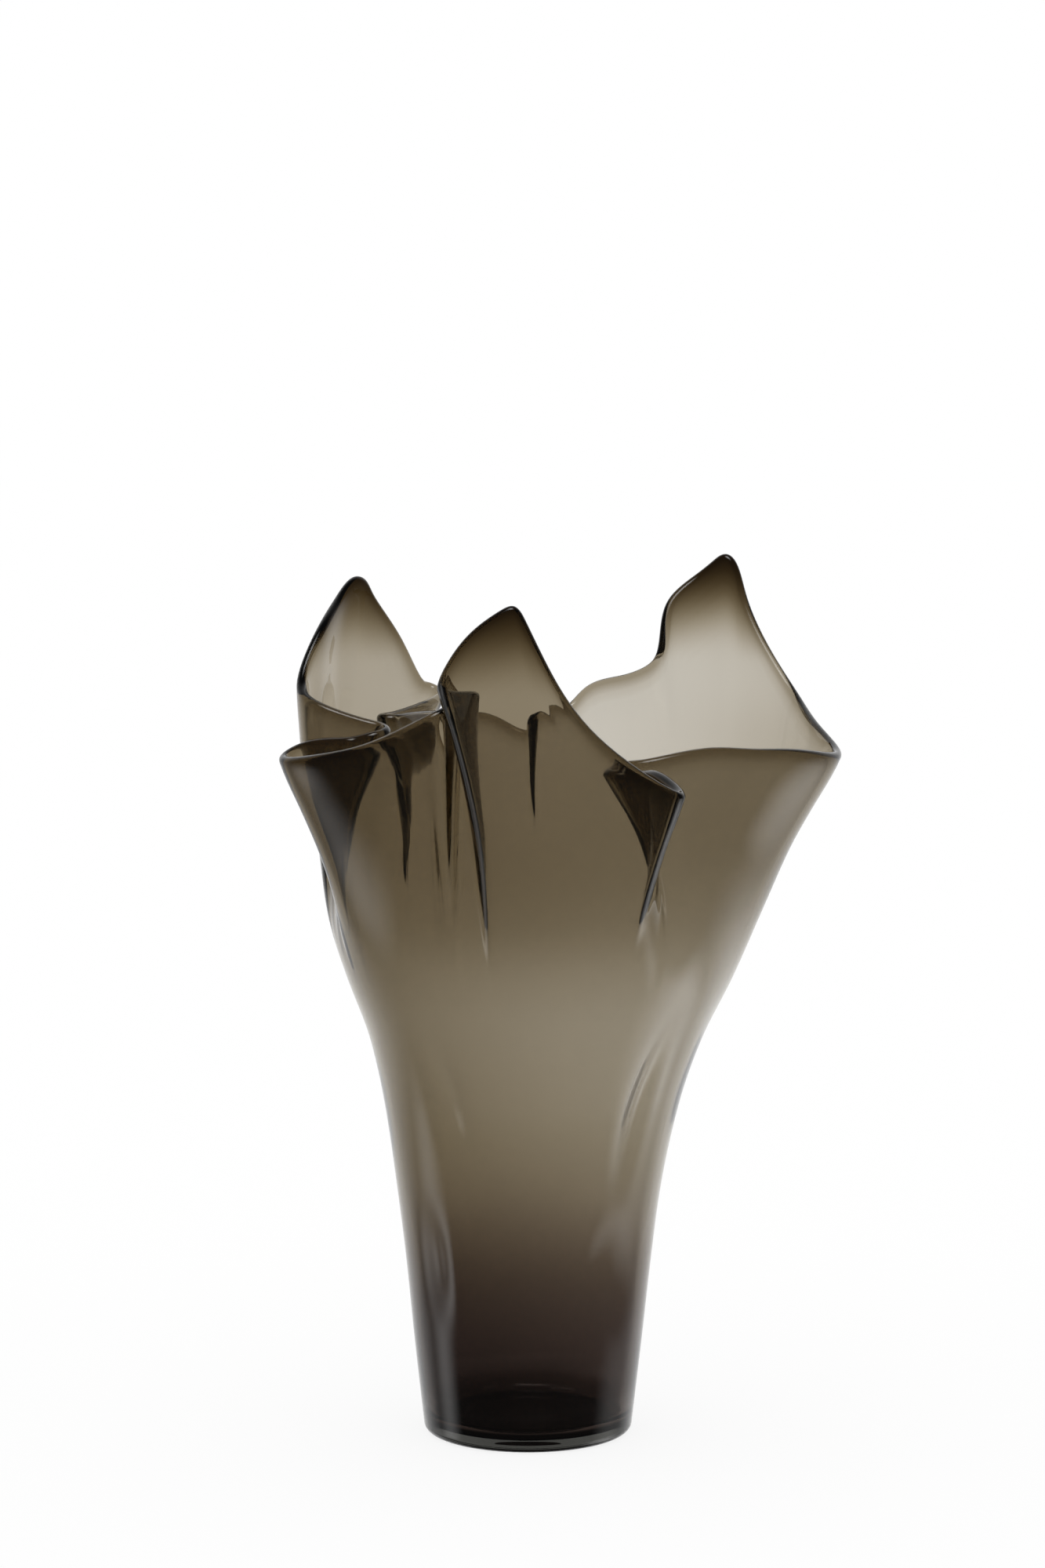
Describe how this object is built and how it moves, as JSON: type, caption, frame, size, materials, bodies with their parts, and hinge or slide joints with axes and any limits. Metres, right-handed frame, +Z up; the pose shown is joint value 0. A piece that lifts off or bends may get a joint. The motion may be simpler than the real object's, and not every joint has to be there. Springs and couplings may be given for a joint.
{
  "type": "glass vase",
  "caption": "Tall blown glass vase in smoky brown grey, its wide rim drawn up into peaks and folded in deep pleats like a gathered cloth, on a clear round foot.",
  "frame": {"origin": "centre of the foot's flat underside, on the surface the vase stands on", "axes": "+Z up out of the mouth, -Y towards the viewer, +X towards the broad right lobe of the rim"},
  "size_m": [0.2428, 0.2016, 0.3822],
  "materials": {
    "smoky_glass": "clear brown grey tint, gloss all over, fire polished at the rim"
  },
  "bodies": {
    "root": {"glass_vase": "smoky_glass"}
  },
  "joints": []
}
